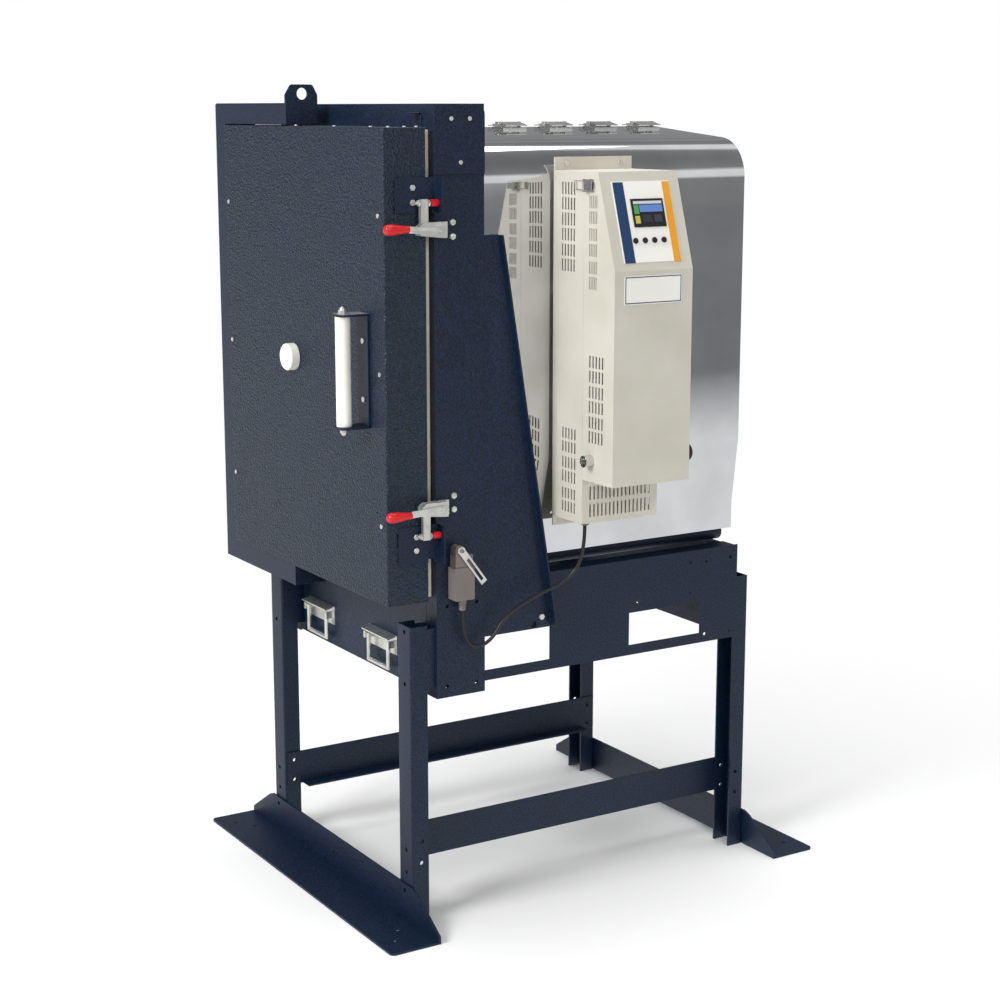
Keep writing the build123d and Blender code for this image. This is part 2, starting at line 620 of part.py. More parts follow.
def clamp_lever(pivot_z, up):
    """Hand lever outside the far cheek and its dipped grip."""
    x0 = CHEEK_OUT + CHEEK_T + 0.5
    bar = along_x([(68, pivot_z - 7), (68, pivot_z + 7), (-14, pivot_z + 7 + 5 * up), (-14, pivot_z - 7 + 5 * up)], x0, x0 + 4)
    bar -= rod_x(LEVER_PIVOT_Y, pivot_z, 4 + PIN_FIT, x0 - 1, x0 + 5)
    z = pivot_z + 6 * up
    sleeve = block(x0 - 3, x0 + 9, -70, -14, z - 12, z + 12)
    sleeve = fillet(sleeve.edges().filter_by(Axis.Y), 5)
    return bar, sleeve


up_leaf, up_heads = strike(1540, 1612, ((8, 1591), (8, 1561)))
low_leaf, low_heads = strike(808, 890, ((10, 867), (10, 838)))
save("strikes", [up_leaf, low_leaf])
save("door_screws", door_screws + up_heads + low_heads)
clamp_bases = []
for name, pivot, up in (("upper", UPPER_Z, 1), ("lower", LOWER_Z, -1)):
    arm, tip = clamp_arm(pivot, up)
    bar, sleeve = clamp_lever(pivot, up)
    clamp_bases.append(clamp_base(pivot, up))
    save(f"clamp_arm_{name}", [arm, tip])
    save(f"clamp_lever_{name}", [bar, sleeve])
save("clamp_bases", clamp_bases)


# Limit switch and its cable

SWITCH_Y = (89.0, 137.0)
SWITCH_X = 385.0
switch = block(COL_OUT, SWITCH_X, *SWITCH_Y, 722, 794)
switch = fillet(switch.edges().filter_by(Axis.X), 3)
switch_head = block(COL_OUT + 3, SWITCH_X - 2, 92, 134, 794, 820)
switch_head += rod_x(103, 832, 10, COL_OUT + 3, SWITCH_X - 2)
switch_head += block(COL_OUT + 3, SWITCH_X - 2, 93, 113, 818, 832)
switch_head += rod_x(103, 832, 4, SWITCH_X - 2, SWITCH_X + 8)
save("switch_body", [switch, switch_head])
lever_x = (SWITCH_X - 1, SWITCH_X + 2)
tip_y, tip_z = 159.0, 757.0
run = math.hypot(tip_y - 103, tip_z - 832)
uy, uz = (tip_y - 103) / run, (tip_z - 832) / run
wide = 8.0
strip = [
    (103 - uz * wide, 832 + uy * wide),
    (tip_y - uz * wide, tip_z + uy * wide),
    (tip_y + uz * wide, tip_z - uy * wide),
    (103 + uz * wide, 832 - uy * wide),
]
slot_a, slot_b = 24.0, run - 8
slot = [
    (103 + uy * slot_a - uz * 3.5, 832 + uz * slot_a + uy * 3.5),
    (103 + uy * slot_b - uz * 3.5, 832 + uz * slot_b + uy * 3.5),
    (103 + uy * slot_b + uz * 3.5, 832 + uz * slot_b - uy * 3.5),
    (103 + uy * slot_a + uz * 3.5, 832 + uz * slot_a - uy * 3.5),
]
arm_plate = along_x(strip, SWITCH_X + 1, SWITCH_X + 4) + rod_x(103, 832, 9, SWITCH_X + 1, SWITCH_X + 4)
arm_plate -= along_x(slot, SWITCH_X, SWITCH_X + 5)
arm_plate -= rod_x(103, 832, 4 + PIN_FIT, SWITCH_X, SWITCH_X + 5)
save("switch_lever", arm_plate)
gland = rod_z(370, 115, 9, 712, 722) + rod_z(370, 115, 7, 698, 712)
for z in (700, 704.5, 709):
    gland += rod_z(370, 115, 8, z, z + 2)
save("cable_glands", [gland, rod_z(420, 395, 9, 862, CASE_LOW)])


def cable_tube(points, diameter):
    """Tube through straight runs with arcs as large as the runs allow."""
    lengths = [math.dist(a, b) for a, b in zip(points, points[1:])]
    radii = []
    for i in range(1, len(points) - 1):
        before = Vector(*points[i]) - Vector(*points[i - 1])
        after = Vector(*points[i + 1]) - Vector(*points[i])
        turn = math.radians(before.get_angle(after))
        radii.append(0.45 * min(lengths[i - 1], lengths[i]) / math.tan(turn / 2))
    print("cable radii", [round(r, 1) for r in radii], "runs", [round(v, 1) for v in lengths])
    path = FilletPolyline(*points, radius=radii)
    start = Plane(origin=path @ 0, z_dir=path % 0)
    tube = sweep(start * Circle(diameter / 2), path=path)
    print("cable volume over section x length", tube.volume / (math.pi * diameter**2 / 4 * path.length))
    return tube


save("switch_cable", cable_tube(CABLE_POINTS, CABLE_D))


# Control box

def vents(x0, x1, z0, z1, y0, y1):
    """One group of upright slots in two rows."""
    slots = []
    count = 5
    pitch = (x1 - x0) / count
    half = (z1 - z0) / 2 - 3
    for i in range(count):
        x = x0 + pitch * (i + 0.5)
        slots.append(block(x - pitch * 0.22, x + pitch * 0.22, y0, y1, z0, z0 + half))
        slots.append(block(x - pitch * 0.22, x + pitch * 0.22, y0, y1, z1 - half, z1))
    return slots


plate = block(CASE_IN - 4, CASE_IN, CASE_Y[0], CASE_Y[1], 855, 1648)
for y in (380, 517):
    plate -= rod_x(y, 868, 3.5, CASE_IN - 5, CASE_IN + 1)
standoffs = [block(SIDE, CASE_IN - 4, y, y + 24, z - 14, z + 14) for y in (360, 515) for z in (1374, 1146)]
save("mounting_plate", [plate] + standoffs)

case = block(CASE_IN, CASE_OUT, *CASE_Y, CASE_LOW, CASE_TOP)
case -= block(CASE_IN + SKIN, CASE_OUT + 1, CASE_Y[0] + SKIN, CASE_Y[1] - SKIN, COVER_LOW, CASE_TOP - SKIN)
case -= block(CASE_IN + SKIN, CASE_OUT - SKIN, CASE_Y[0] + SKIN, CASE_Y[1] - SKIN, CASE_LOW + SKIN, COVER_LOW + 1)
vent_cuts = []
for z0, z1 in ((1540, 1598), (1476, 1534), (1412, 1469)):
    for y in CASE_Y:
        vent_cuts += vents(386, 441, z0, z1, y - 3, y + 3)
for z0, z1 in ((1025, 1078), (960, 1015), (895, 947)):
    for y in CASE_Y:
        vent_cuts += vents(392, 449, z0, z1, y - 3, y + 3)
front_slots = []
for i in range(16):
    y = CASE_Y[0] + 20 + i * 10.3
    front_slots.append(block(CASE_OUT - 3, CASE_OUT + 1, y, y + 4, 890, 918))
    front_slots.append(block(CASE_OUT - 3, CASE_OUT + 1, y, y + 4, 928, 956))
case = case - vent_cuts - front_slots

cover_side = [
    (COVER_IN, COVER_LOW),
    (COVER_OUT, COVER_LOW),
    (COVER_OUT, COVER_BEND_Z),
    (COVER_TOP_X, COVER_TOP),
    (COVER_IN, COVER_TOP),
]
cover_room = [
    (COVER_IN - 1, COVER_LOW + SKIN),
    (COVER_OUT - SKIN, COVER_LOW + SKIN),
    (COVER_OUT - SKIN, COVER_BEND_Z - 0.3),
    (COVER_TOP_X - SKIN, COVER_TOP - SKIN),
    (COVER_IN - 1, COVER_TOP - SKIN),
]
cover = along_y(cover_side, *CASE_Y) - along_y(cover_room, CASE_Y[0] + SKIN, CASE_Y[1] - SKIN)
cover_cuts = []
for z0, z1 in ((1515, 1573), (1448, 1506), (1380, 1438)):
    for y in CASE_Y:
        cover_cuts += vents(490, 521, z0, z1, y - 3, y + 3)
for z0, z1 in ((1186, 1242), (1122, 1178), (1058, 1114)):
    for y in CASE_Y:
        cover_cuts += vents(492, 550, z0, z1, y - 3, y + 3)
cover = cover - cover_cuts
cover += rod_y(COVER_AXIS_X, COVER_AXIS_Z, 5, 372, 400)
cover += rod_y(COVER_AXIS_X, COVER_AXIS_Z, 5, 500, 528)
for y0 in (372, 500):
    cover += block(COVER_AXIS_X - 2, COVER_AXIS_X + 5, y0, y0 + 28, COVER_AXIS_Z, COVER_LOW + 1)
cover -= rod_y(COVER_AXIS_X, COVER_AXIS_Z, 2 + PIN_FIT, 371, 529)
save("control_cover", cover)
hinge_pins = []
for y0 in (372, 500):
    pin = rod_y(COVER_AXIS_X, COVER_AXIS_Z, 2, y0 - 6, y0 + 34)
    for a in (y0 - 5, y0 + 29):
        ear = block(CASE_OUT, COVER_AXIS_X + 4, a, a + 4, COVER_AXIS_Z - 6, COVER_AXIS_Z + 5)
        pin += ear
    hinge_pins.append(pin)

slope_len = math.hypot(COVER_OUT - COVER_TOP_X, COVER_TOP - COVER_BEND_Z)
slope_plane = Plane(
    origin=((COVER_OUT + COVER_TOP_X) / 2, (CASE_Y[0] + CASE_Y[1]) / 2, (COVER_TOP + COVER_BEND_Z) / 2),
    x_dir=(0, 1, 0),
    z_dir=(COVER_TOP - COVER_BEND_Z, 0, COVER_OUT - COVER_TOP_X),
)
faceplate = extrude(slope_plane * Pos(0, -2) * Rectangle(146, 171), 1.0)
screen = extrude(slope_plane.offset(1.0) * Pos(8, 16) * Rectangle(82, 60), 2.0)
save("screen", screen)
blank_plate = block(COVER_OUT, COVER_OUT + 1, 375, 521, 1353, 1412)
keys = [slope_plane.offset(1.0) * Pos(-36 + 24 * i, -42) * Cylinder(6, 3, align=(Align.CENTER, Align.CENTER, Align.MIN)) for i in range(4)]
save("faceplate", [faceplate, blank_plate] + keys)

# Draw latches on the sides of the cover
CATCH_Z = 1593.0
HOOK_Y = 7.0


def cover_latch(y_face, out):
    """Catch on the case, base and loop on the cover, lever on the base."""
    def span(a, b):
        return sorted([y_face + out * a, y_face + out * b])
    catch = block(446, 466, *span(0, 2), CATCH_Z - 12, CATCH_Z + 12)
    catch += block(448, 450, *span(2, HOOK_Y), CATCH_Z - 8, CATCH_Z + 8)
    base = block(476, 508, *span(0, 2), CATCH_Z - 13, CATCH_Z + 13)
    for z in (CATCH_Z - 13, CATCH_Z + 10):
        base += block(480, 492, *span(2, 10), z, z + 3)
    pin_y = y_face + out * 6
    base -= rod_z(486, pin_y, 2 + PIN_FIT, CATCH_Z - 14, CATCH_Z + 14)
    loop = block(443, 479, *span(3, 5), CATCH_Z - 9.5, CATCH_Z + 9.5)
    loop -= block(446, 476, *span(2, 6), CATCH_Z - 8.5, CATCH_Z + 8.5)
    lever = block(484, 512, *span(9, 10.5), CATCH_Z - 9, CATCH_Z + 9)
    for z in (CATCH_Z - 9, CATCH_Z + 7):
        lever += block(484, 491, *span(4, 9.5), z, z + 2)
    lever += rod_z(486, pin_y, 2, CATCH_Z - 12.5, CATCH_Z + 12.5)
    return catch, base, loop, lever


catch_a, base_a, loop_a, lever_a = cover_latch(CASE_Y[0], -1)
catch_b, base_b, loop_b, lever_b = cover_latch(CASE_Y[1], 1)
save("control_case", [case, catch_a, catch_b] + hinge_pins)
save("cover_latch_bases", [base_a, base_b, loop_a, loop_b])
save("cover_latch_lever_near", lever_a)
save("cover_latch_lever_far", lever_b)

socket = rod_y(505, 1020, 12.5, CASE_Y[0] - 20, CASE_Y[0])
socket -= rod_y(505, 1020, 9, CASE_Y[0] - 21, CASE_Y[0] - 4)
save("socket", socket)
KNOB_X = COVER_OUT - 23
knob = rod_y(KNOB_X, 1029, 18.5, CASE_Y[1] + 0.5, CASE_Y[1] + 13)
knob += block(KNOB_X - 3, KNOB_X + 3, CASE_Y[1] + 13, CASE_Y[1] + 16, 1014, 1044)
save("rotary_knob", knob)
inside = [block(CASE_IN + SKIN, 425, 380, 440, z, z + 70) for z in (1180, 1290, 1400)]
inside += [block(CASE_IN + SKIN, 440, 455, 525, 1380, 1470), block(CASE_IN + SKIN, 400, 380, 520, 1010, 1040)]
save("contactors", inside)


# Lift handles on the front apron

BAIL_AXIS_Y = 46.0
BAIL_AXIS_Z = 584.0
BAIL_R = 5.0


def bail_plate(x0):
    """Plate with a folded hood and two lugs for the bail."""
    x1 = x0 + 130
    piece = block(x0, x1, FACE - 3, FACE, 560, 604)
    hood = along_x([(FACE - 3, 604), (FACE - 3, 601), (35, 596), (35, 599)], x0 + 4, x1 - 4)
    piece += hood
    for a in (x0 + 6, x1 - 12):
        lug = block(a, a + 6, BAIL_AXIS_Y - 7, FACE - 3, 576, 592)
        piece += lug
    return piece - rod_x(BAIL_AXIS_Y, BAIL_AXIS_Z, 3 + PIN_FIT, x0, x1)


def bail(x0):
    """Hanging loop of round bar, its ends pinned in the lugs."""
    left = x0 + 19
    right = x0 + 111
    low = 528.0
    piece = rod_z(left, BAIL_AXIS_Y, BAIL_R, low, BAIL_AXIS_Z + 4)
    piece += rod_z(right, BAIL_AXIS_Y, BAIL_R, low, BAIL_AXIS_Z + 4)
    piece += rod_x(BAIL_AXIS_Y, low, BAIL_R, left, right)
    piece += Pos(left, BAIL_AXIS_Y, low) * Sphere(BAIL_R)
    piece += Pos(right, BAIL_AXIS_Y, low) * Sphere(BAIL_R)
    piece += rod_x(BAIL_AXIS_Y, BAIL_AXIS_Z, 3, x0 + 7, left)
    piece += rod_x(BAIL_AXIS_Y, BAIL_AXIS_Z, 3, right, x0 + 123)
    return piece


BAIL_LEFT = -252.0
BAIL_RIGHT = 52.0
save("bail_plates", [bail_plate(BAIL_LEFT), bail_plate(BAIL_RIGHT)])
save("bail_left", bail(BAIL_LEFT))
save("bail_right", bail(BAIL_RIGHT))
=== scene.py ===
import json
import math

import bmesh
import bpy
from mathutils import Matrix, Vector

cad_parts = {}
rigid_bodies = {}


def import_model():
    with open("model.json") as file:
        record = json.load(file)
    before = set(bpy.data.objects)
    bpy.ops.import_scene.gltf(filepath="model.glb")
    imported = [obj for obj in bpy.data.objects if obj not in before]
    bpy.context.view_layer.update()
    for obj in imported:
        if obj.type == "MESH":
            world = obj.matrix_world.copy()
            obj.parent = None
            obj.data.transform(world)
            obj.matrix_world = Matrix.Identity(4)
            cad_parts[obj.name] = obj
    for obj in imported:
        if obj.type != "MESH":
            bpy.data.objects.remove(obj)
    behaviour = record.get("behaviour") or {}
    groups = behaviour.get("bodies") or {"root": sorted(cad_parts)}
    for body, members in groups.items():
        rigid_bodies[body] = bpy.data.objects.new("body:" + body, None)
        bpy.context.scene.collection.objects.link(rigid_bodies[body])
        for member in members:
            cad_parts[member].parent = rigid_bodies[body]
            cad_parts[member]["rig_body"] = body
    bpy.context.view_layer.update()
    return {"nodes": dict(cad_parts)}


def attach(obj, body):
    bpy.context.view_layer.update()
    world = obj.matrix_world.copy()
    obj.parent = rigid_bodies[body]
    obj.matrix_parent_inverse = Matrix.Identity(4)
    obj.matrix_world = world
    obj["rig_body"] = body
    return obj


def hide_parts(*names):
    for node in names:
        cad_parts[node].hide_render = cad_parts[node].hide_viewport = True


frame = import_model()

# Camera
# A 70 mm view from the front right, just under the height of the lifting eye, looking slightly down.
# It stands about 4.3 m from the stand's front, so the upright edges of the kiln stay nearly parallel.
CAMERA_PLACE = (3.8294, -1.9298, 1.7479)
CAMERA_YAW = 1.017
CAMERA_PITCH = 0.199
LENS = 69.87
SENSOR = 36
camera = bpy.data.objects.new("camera", bpy.data.cameras.new("camera"))
bpy.context.scene.collection.objects.link(camera)
bpy.context.scene.camera = camera
level = math.cos(CAMERA_PITCH)
heading = Vector((-math.sin(CAMERA_YAW) * level, math.cos(CAMERA_YAW) * level, -math.sin(CAMERA_PITCH)))
camera.location = CAMERA_PLACE
camera.rotation_euler = heading.to_track_quat("-Z", "Y").to_euler()
camera.data.sensor_width = SENSOR
camera.data.lens = LENS
camera.data.clip_end = 100

# Limit switch cable
# An 8 mm black sheathed cable that hangs from the switch on the column and rises into the control case.
# Its spline uses the route's own points as control points, so it falls in one smooth curve.
CABLE_D = 0.008
CABLE_POINTS = [
    (0.370, 0.115, 0.698),
    (0.370, 0.115, 0.655),
    (0.376, 0.132, 0.612),
    (0.384, 0.176, 0.620),
    (0.390, 0.212, 0.680),
    (0.395, 0.296, 0.716),
    (0.404, 0.368, 0.740),
    (0.420, 0.395, 0.798),
    (0.420, 0.395, 0.862),
]


def to_linear(hex_colour):
    """sRGB hex to the linear values Blender works in."""
    channels = [int(hex_colour[i:i + 2], 16) / 255 for i in (0, 2, 4)]
    return [c / 12.92 if c <= 0.04045 else ((c + 0.055) / 1.055) ** 2.4 for c in channels] + [1.0]


def add(tree, kind, inputs=None, **settings):
    """Add one node; inputs may hold plain values or sockets to link."""
    node = tree.nodes.new(kind)
    for key, value in settings.items():
        setattr(node, key, value)
    for key, value in (inputs or {}).items():
        if isinstance(value, bpy.types.NodeSocket):
            tree.links.new(value, node.inputs[key])
        else:
            node.inputs[key].default_value = value
    return node


def blend_colours(tree, factor, dark, light):
    """Colour that goes from dark to light with the factor."""
    mix = add(tree, "ShaderNodeMix", {0: factor}, data_type="RGBA")
    mix.inputs[6].default_value = to_linear(dark)
    mix.inputs[7].default_value = to_linear(light)
    return mix.outputs[2]


def surface(name, dark, light, metallic=0.0, rough=(0.4, 0.5), grain=1.0, depth=0.0002, mottle=83.33,
            pebbled=False):
    """Procedural finish. A mottle, its size in mm, goes from the dark to the light colour. A finer grain,
    its size in mm too, varies the roughness and raises the surface by the depth in metres."""
    material = bpy.data.materials.new(name)
    material.use_nodes = True
    tree = material.node_tree
    shader = tree.nodes["Principled BSDF"]
    coords = add(tree, "ShaderNodeTexCoord").outputs["Object"]
    cloud = add(tree, "ShaderNodeTexNoise", {"Vector": coords, "Scale": 500 / mottle, "Detail": 4.0})
    spots = add(tree, "ShaderNodeMapRange",
                {"Value": cloud.outputs["Fac"], "From Min": 0.36, "From Max": 0.64})
    tree.links.new(blend_colours(tree, spots.outputs["Result"], dark, light), shader.inputs["Base Color"])
    fine = add(tree, "ShaderNodeTexNoise", {"Vector": coords, "Scale": 500 / grain, "Detail": 2.0})
    gloss = add(tree, "ShaderNodeMapRange",
                {"Value": fine.outputs["Fac"], "To Min": rough[0], "To Max": rough[1]})
    tree.links.new(gloss.outputs["Result"], shader.inputs["Roughness"])
    height = fine.outputs["Fac"]
    if pebbled:
        cells = add(tree, "ShaderNodeTexVoronoi", {"Vector": coords, "Scale": 500 / grain, "Smoothness": 1.0},
                    feature="SMOOTH_F1")
        height = cells.outputs["Distance"]
    bump = add(tree, "ShaderNodeBump", {"Height": height, "Distance": depth, "Strength": 1.0})
    tree.links.new(bump.outputs["Normal"], shader.inputs["Normal"])
    shader.inputs["Metallic"].default_value = metallic
    return material


def dress(node, material, bevel=1.0):
    """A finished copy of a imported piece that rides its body, its sharp edges broken by the bevel in mm."""
    source = frame["nodes"][node]
    obj = bpy.data.objects.new(node + "_finish", source.data.copy())
    bpy.context.scene.collection.objects.link(obj)
    obj.data.materials.clear()
    obj.data.materials.append(material)
    work = bmesh.new()
    work.from_mesh(obj.data)
    bmesh.ops.remove_doubles(work, verts=work.verts, dist=1e-6)
    bmesh.ops.dissolve_limit(work, angle_limit=math.radians(0.5), verts=work.verts, edges=work.edges)
    for face in work.faces:
        face.material_index = 0
    work.to_mesh(obj.data)
    work.free()
    if bevel:
        broken = obj.modifiers.new("edges", "BEVEL")
        broken.width = bevel / 1000
        broken.segments = 2
        broken.limit_method = "ANGLE"
        broken.angle_limit = math.radians(40)
        broken.harden_normals = True
        broken.use_clamp_overlap = True
    for polygon in obj.data.polygons:
        polygon.use_smooth = True
    obj.data.set_sharp_from_angle(angle=math.radians(35))
    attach(obj, source["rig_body"])
    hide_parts(node)
    return obj


sheath = surface("black_pvc_cable_sheath", "0c0b0b", "171414", rough=(0.35, 0.5), grain=1.5, depth=0.00005)
curve = bpy.data.curves.new("switch_cable_finish", "CURVE")
curve.dimensions = "3D"
curve.bevel_depth = CABLE_D / 2
curve.bevel_resolution = 6
curve.resolution_u = 16
spline = curve.splines.new("NURBS")
spline.points.add(len(CABLE_POINTS) - 1)
for point, place in zip(spline.points, CABLE_POINTS):
    point.co = (*place, 1.0)
spline.order_u = 3
spline.use_endpoint_u = True
curve.materials.append(sheath)
cable = bpy.data.objects.new("switch_cable_finish", curve)
bpy.context.scene.collection.objects.link(cable)
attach(cable, "kiln")
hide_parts("switch_cable")

# Stand, base box and front frame
# Folded, welded and bolted steel under a navy powder coat with a slight orange peel.
# The coat gives broad soft highlights; its speckle is a little coarser than real, so that it shows.
navy = surface("navy_powder_coated_steel", "020b17", "0d2644", rough=(0.36, 0.56), grain=1.8, depth=0.0007,
               mottle=1.923)
navy.node_tree.nodes["Principled BSDF"].inputs["Specular IOR Level"].default_value = 0.35
for node in ("feet", "legs", "stretchers", "base_sides", "aprons", "cradle_tubes", "columns", "top_beam",
             "cap_plates", "gussets", "hinge_brackets", "door_yoke"):
    dress(node, navy, bevel=1.2)

# Door shell
# Deep tray of folded sheet under a pebbled hammer paint of the same navy.
# The pebble, some 4 mm from crest to crest, catches the light in small soft dots.
hammer = surface("navy_hammer_paint", "040c16", "142a42", rough=(0.34, 0.52), grain=2.0, depth=0.003,
                 mottle=1.5625, pebbled=True)
hammer.node_tree.nodes["Principled BSDF"].inputs["Specular IOR Level"].default_value = 0.4
dress("door_shell", hammer, bevel=2.5)

# Jacket and rear cover
# Thin stainless sheet polished to a mirror and wrapped around the insulation.
# It shows the floor, the backdrop and the control box nearly undistorted.
mirror = surface("mirror_polished_stainless", "c4c6c8", "d0d2d4", metallic=1.0, rough=(0.03, 0.06), grain=60,
                 depth=0.00002)
dress("jacket", mirror, bevel=0.5)
dress("rear_cover", mirror, bevel=0.5)

# Stainless fittings
# Pressed stainless roof latches, cover latches, mouth plate and socket, riveted or screwed on.
# Rolled sheet as it comes from the mill: bright, with soft reflections.
stainless = surface("pressed_stainless_steel", "c6c6c4", "dededb", metallic=1.0, rough=(0.2, 0.32), grain=2,
                    depth=0.00003)
for node in ("mouth_plate", "roof_latch_bases", "roof_latch_lever_1", "roof_latch_lever_2",
             "roof_latch_lever_3", "roof_latch_lever_4", "cover_latch_bases", "cover_latch_lever_near",
             "cover_latch_lever_far", "socket"):
    dress(node, stainless, bevel=0.4)

# Screws, pivots, switch arm and lift handles
# Zinc plated steel, bright with a faint mottle; screwed into the frame, the door and the front apron.
# The passivated zinc is whiter and duller than the stainless.
zinc = surface("zinc_plated_steel", "cfcfca", "e4e4df", metallic=0.85, rough=(0.28, 0.42), grain=2,
               depth=0.00004, mottle=12.5)
for node in ("frame_screws", "door_screws", "door_pivots", "switch_lever", "bail_plates", "bail_left",
             "bail_right"):
    dress(node, zinc, bevel=0.5)

# Handle bracket
# Folded strap in navy powder coat, screwed to the door, with the tie rod that holds the ceramic tube.
# The domed nuts on the rod's ends are zinc plated.
ROD_X = 0.265
ROD_Y = -0.107
NUT_REACH = 0.011
STRAP_LOW = 1.096
STRAP_TOP = 1.332


def two_finishes(node, first, second, is_second, bevel=0.5):
    """Dress a node and give the faces whose centres pass the test the second finish."""
    obj = dress(node, first, bevel=bevel)
    obj.data.materials.append(second)
    for polygon in obj.data.polygons:
        polygon.material_index = 1 if is_second(polygon.center) else 0
    return obj


def is_nut(place):
    """True for the faces of the rod's ends above and below the strap."""
    return math.hypot(place.x - ROD_X, place.y - ROD_Y) < NUT_REACH and not STRAP_LOW < place.z < STRAP_TOP


two_finishes("handle_bracket", navy, zinc, is_nut, bevel=1.0)

# Toggle clamps and their strikes
# Two zinc plated toggle clamps bolted to the column; each presses a red rubber tip on a navy strike.
# The lever ends in a red dipped vinyl grip, round and thicker towards its end.
TIP_Y = 0.0435
LEVER_X = 0.3825
LEVER_HALF = 0.0024
LEVER_END_Y = -0.0139
LEVER_Z = {"upper": 1.509, "lower": 0.920}
GRIP_PROFILE = [(-0.071, 0.0), (-0.0705, 0.006), (-0.066, 0.0105), (-0.055, 0.0115), (-0.038, 0.0095),
                (-0.024, 0.0075), (-0.0145, 0.0072), (-0.0142, 0.0)]
BASE_NECK_Y = 0.072
BASE_KEPT = 0.4
COLUMN_X = 0.3549
BOLT_R = 0.0075
BOLT_HIGH = 0.005
BOLT_Y = 0.103
BOLT_Z = (1.519, 1.490, 0.946, 0.917)
BOLT_PROFILE = [(0.0, 1.0), (0.55, 1.0), (0.85, 0.88), (1.0, 0.6), (1.0, 0.0)]
red = surface("red_vinyl_dip", "b80f18", "d3161f", rough=(0.25, 0.35), grain=3, depth=0.00005)
dress("strikes", navy, bevel=0.8)


def turned(name, rings, material, sharp):
    """Closed mesh from rings of points, each joined to the next; edges over the angle stay sharp."""
    sides = len(rings[0])
    faces = []
    for row in range(len(rings) - 1):
        for i in range(sides):
            j = (i + 1) % sides
            faces.append((row * sides + i, row * sides + j, (row + 1) * sides + j, (row + 1) * sides + i))
    mesh = bpy.data.meshes.new(name)
    mesh.from_pydata([point for points in rings for point in points], [], faces)
    work = bmesh.new()
    work.from_mesh(mesh)
    bmesh.ops.remove_doubles(work, verts=work.verts, dist=1e-6)
    bmesh.ops.holes_fill(work, edges=work.edges, sides=0)
    bmesh.ops.recalc_face_normals(work, faces=work.faces)
    work.to_mesh(mesh)
    work.free()
    mesh.materials.append(material)
    for polygon in mesh.polygons:
        polygon.use_smooth = True
    mesh.set_sharp_from_angle(angle=math.radians(sharp))
    obj = bpy.data.objects.new(name, mesh)
    bpy.context.scene.collection.objects.link(obj)
    return obj


def drop_faces(obj, test):
    """Leave out the faces whose centres pass the test."""
    work = bmesh.new()
    work.from_mesh(obj.data)
    bmesh.ops.delete(work, geom=[f for f in work.faces if test(f.calc_center_median())], context="FACES")
    work.to_mesh(obj.data)
    work.free()


def is_grip(place):
    """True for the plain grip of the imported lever, and for the side of its flat bar that faces the column."""
    return place.y < LEVER_END_Y or abs(place.x - LEVER_X) > LEVER_HALF


def ring(radius, angles):
    """Flat ring of points about a centre, as pairs."""
    return [(radius * math.cos(a), radius * math.sin(a)) for a in angles]


ROUND = [2 * math.pi * i / 40 for i in range(40)]
HEXAGON = [2 * math.pi * (i + 0.5) / 6 for i in range(6)]
for clamp, lever_z in LEVER_Z.items():
    two_finishes(f"clamp_arm_{clamp}", zinc, red, lambda place: place.y > TIP_Y)
    bar = dress(f"clamp_lever_{clamp}", zinc, bevel=0.8)
    drop_faces(bar, is_grip)
    rings = [[(LEVER_X + u, y, lever_z + v) for u, v in ring(r, ROUND)] for y, r in GRIP_PROFILE]
    grip = turned(f"clamp_grip_{clamp}_finish", rings, red, sharp=50)
    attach(grip, f"{clamp}_lever")
base = dress("clamp_bases", zinc, bevel=0.5)
for vertex in base.data.vertices:
    if vertex.co.y > BASE_NECK_Y:
        vertex.co.y = BASE_NECK_Y + (vertex.co.y - BASE_NECK_Y) * BASE_KEPT
for i, bolt_z in enumerate(BOLT_Z):
    rings = [[(COLUMN_X + BOLT_HIGH * up, BOLT_Y + u, bolt_z + v) for u, v in ring(BOLT_R * wide, HEXAGON)]
             for up, wide in BOLT_PROFILE]
    bolt = turned(f"clamp_bolt_{i}", rings, zinc, sharp=30)
    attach(bolt, "kiln")

# Control box
# Folded steel case and hinged cover under a cream powder coat, with rows of upright vent slots.
# The coat is a fine orange peel; knob, contactors and screen surround are moulded black plastic.
cream = surface("cream_powder_coated_steel", "c3bfb2", "cdc9bd", rough=(0.38, 0.48), grain=1.4, depth=0.00008)
for node in ("mounting_plate", "control_case", "control_cover"):
    dress(node, cream, bevel=0.8)
black = surface("black_moulded_plastic", "0e0e10", "17171a", rough=(0.4, 0.5), grain=1.0, depth=0.00005)
for node in ("rotary_knob", "contactors", "screen"):
    dress(node, black, bevel=1.0)

# Faceplate and bare plate
# Printed polyester film stuck on the cover: white, with a plain navy band and a plain orange band, and a navy
# border on the bare plate below. The four round keys are black.
KEY_AREA = 0.00012
KEYS_ABOVE = 1.42
FILM_PROUD = 0.0013
PRINT_T = 0.0002
COVER_FRONT = 0.585
SLOPE_FOOT = Vector((COVER_FRONT, 0.450, 1.422))
SLOPE_HEAD = Vector((0.522, 0.450, 1.621))
SLOPE_UP = (SLOPE_HEAD - SLOPE_FOOT).normalized()
SLOPE_OUT = Vector((SLOPE_UP.z, 0, -SLOPE_UP.x))
BAND_HIGH = (0.016, 0.186)
NAVY_BAND = (0.380, 0.406)
ORANGE_BAND = (0.504, 0.522)
PLATE_ACROSS = (0.377, 0.519)
PLATE_HIGH = (1.355, 1.410)
BORDER = 0.002
film = surface("white_panel_film", "eceae4", "f2f0ea", rough=(0.25, 0.35), grain=1.0, depth=0.00002)
navy_film = surface("navy_printed_film", "16365f", "1b3d68", rough=(0.25, 0.35), grain=1.0, depth=0.00002)
orange_film = surface("orange_printed_film", "e39a1c", "e9a32a", rough=(0.25, 0.35), grain=1.0, depth=0.00002)
panel = dress("faceplate", film, bevel=0.3)
